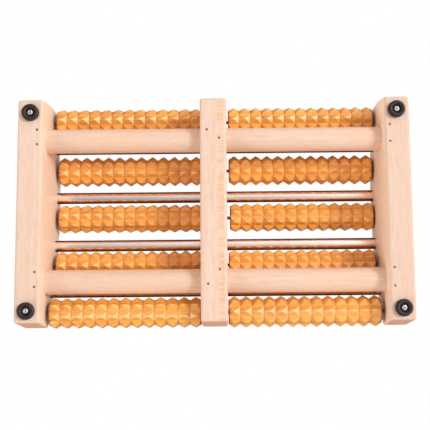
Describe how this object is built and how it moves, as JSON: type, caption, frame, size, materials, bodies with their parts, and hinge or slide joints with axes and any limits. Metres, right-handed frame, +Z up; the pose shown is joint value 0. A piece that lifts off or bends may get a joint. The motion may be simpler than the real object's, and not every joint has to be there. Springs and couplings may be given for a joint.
{
  "type": "foot massage roller",
  "caption": "Arched wooden foot massager with two bays of pyramid-cut rollers that spin on steel axles between smooth steel rods, standing on rubber feet.",
  "frame": {"origin": "on the floor, under the middle of the object", "axes": "+X along the rollers, towards the right side board; +Y from the tall end (front) to the low end (back); +Z up"},
  "size_m": [0.36, 0.2146, 0.089],
  "materials": {
    "frame_wood": "fine sanded beech, thin clear coat",
    "roller_wood": "orange varnish, glossy",
    "rod_steel": "drawn tube, satin",
    "axle_steel": "plain wire, dark",
    "foot_rubber": "moulded, matte",
    "screw_steel": "zinc plated",
    "nail_steel": "plain, dulled"
  },
  "bodies": {
    "frame": {"side_board_left": "frame_wood", "side_board_right": "frame_wood", "centre_board": "frame_wood", "cross_dowel_front": "frame_wood", "cross_dowel_back": "frame_wood", "steel_rod_1": "rod_steel", "steel_rod_2": "rod_steel", "steel_rod_3": "rod_steel", "steel_rod_4": "rod_steel", "axle_1": "axle_steel", "axle_2": "axle_steel", "axle_3": "axle_steel", "axle_4": "axle_steel", "axle_5": "axle_steel", "rubber_foot_front_left": "foot_rubber", "rubber_foot_front_right": "foot_rubber", "rubber_foot_back_left": "foot_rubber", "rubber_foot_back_right": "foot_rubber", "foot_screw_front_left": "screw_steel", "foot_screw_front_right": "screw_steel", "foot_screw_back_left": "screw_steel", "foot_screw_back_right": "screw_steel", "nails_left": "nail_steel", "nails_right": "nail_steel", "nails_centre": "nail_steel"},
    "roller_1_left": {"roller_1_left": "roller_wood"},
    "roller_1_right": {"roller_1_right": "roller_wood"},
    "roller_2_left": {"roller_2_left": "roller_wood"},
    "roller_2_right": {"roller_2_right": "roller_wood"},
    "roller_3_left": {"roller_3_left": "roller_wood"},
    "roller_3_right": {"roller_3_right": "roller_wood"},
    "roller_4_left": {"roller_4_left": "roller_wood"},
    "roller_4_right": {"roller_4_right": "roller_wood"},
    "roller_5_left": {"roller_5_left": "roller_wood"},
    "roller_5_right": {"roller_5_right": "roller_wood"}
  },
  "joints": [
    {"name": "roller_1_left_spin", "type": "hinge", "parent": "frame", "child": "roller_1_left", "pos_m": [0, -0.0925, 0.05772], "axis": [1, 0, 0], "continuous": true},
    {"name": "roller_1_right_spin", "type": "hinge", "parent": "frame", "child": "roller_1_right", "pos_m": [0, -0.0925, 0.05772], "axis": [1, 0, 0], "continuous": true},
    {"name": "roller_2_left_spin", "type": "hinge", "parent": "frame", "child": "roller_2_left", "pos_m": [0, -0.0467, 0.07233], "axis": [1, 0, 0], "continuous": true},
    {"name": "roller_2_right_spin", "type": "hinge", "parent": "frame", "child": "roller_2_right", "pos_m": [0, -0.0467, 0.07233], "axis": [1, 0, 0], "continuous": true},
    {"name": "roller_3_left_spin", "type": "hinge", "parent": "frame", "child": "roller_3_left", "pos_m": [0, 0.0003, 0.07425], "axis": [1, 0, 0], "continuous": true},
    {"name": "roller_3_right_spin", "type": "hinge", "parent": "frame", "child": "roller_3_right", "pos_m": [0, 0.0003, 0.07425], "axis": [1, 0, 0], "continuous": true},
    {"name": "roller_4_left_spin", "type": "hinge", "parent": "frame", "child": "roller_4_left", "pos_m": [0, 0.0476, 0.06325], "axis": [1, 0, 0], "continuous": true},
    {"name": "roller_4_right_spin", "type": "hinge", "parent": "frame", "child": "roller_4_right", "pos_m": [0, 0.0476, 0.06325], "axis": [1, 0, 0], "continuous": true},
    {"name": "roller_5_left_spin", "type": "hinge", "parent": "frame", "child": "roller_5_left", "pos_m": [0, 0.0928, 0.03788], "axis": [1, 0, 0], "continuous": true},
    {"name": "roller_5_right_spin", "type": "hinge", "parent": "frame", "child": "roller_5_right", "pos_m": [0, 0.0928, 0.03788], "axis": [1, 0, 0], "continuous": true}
  ]
}
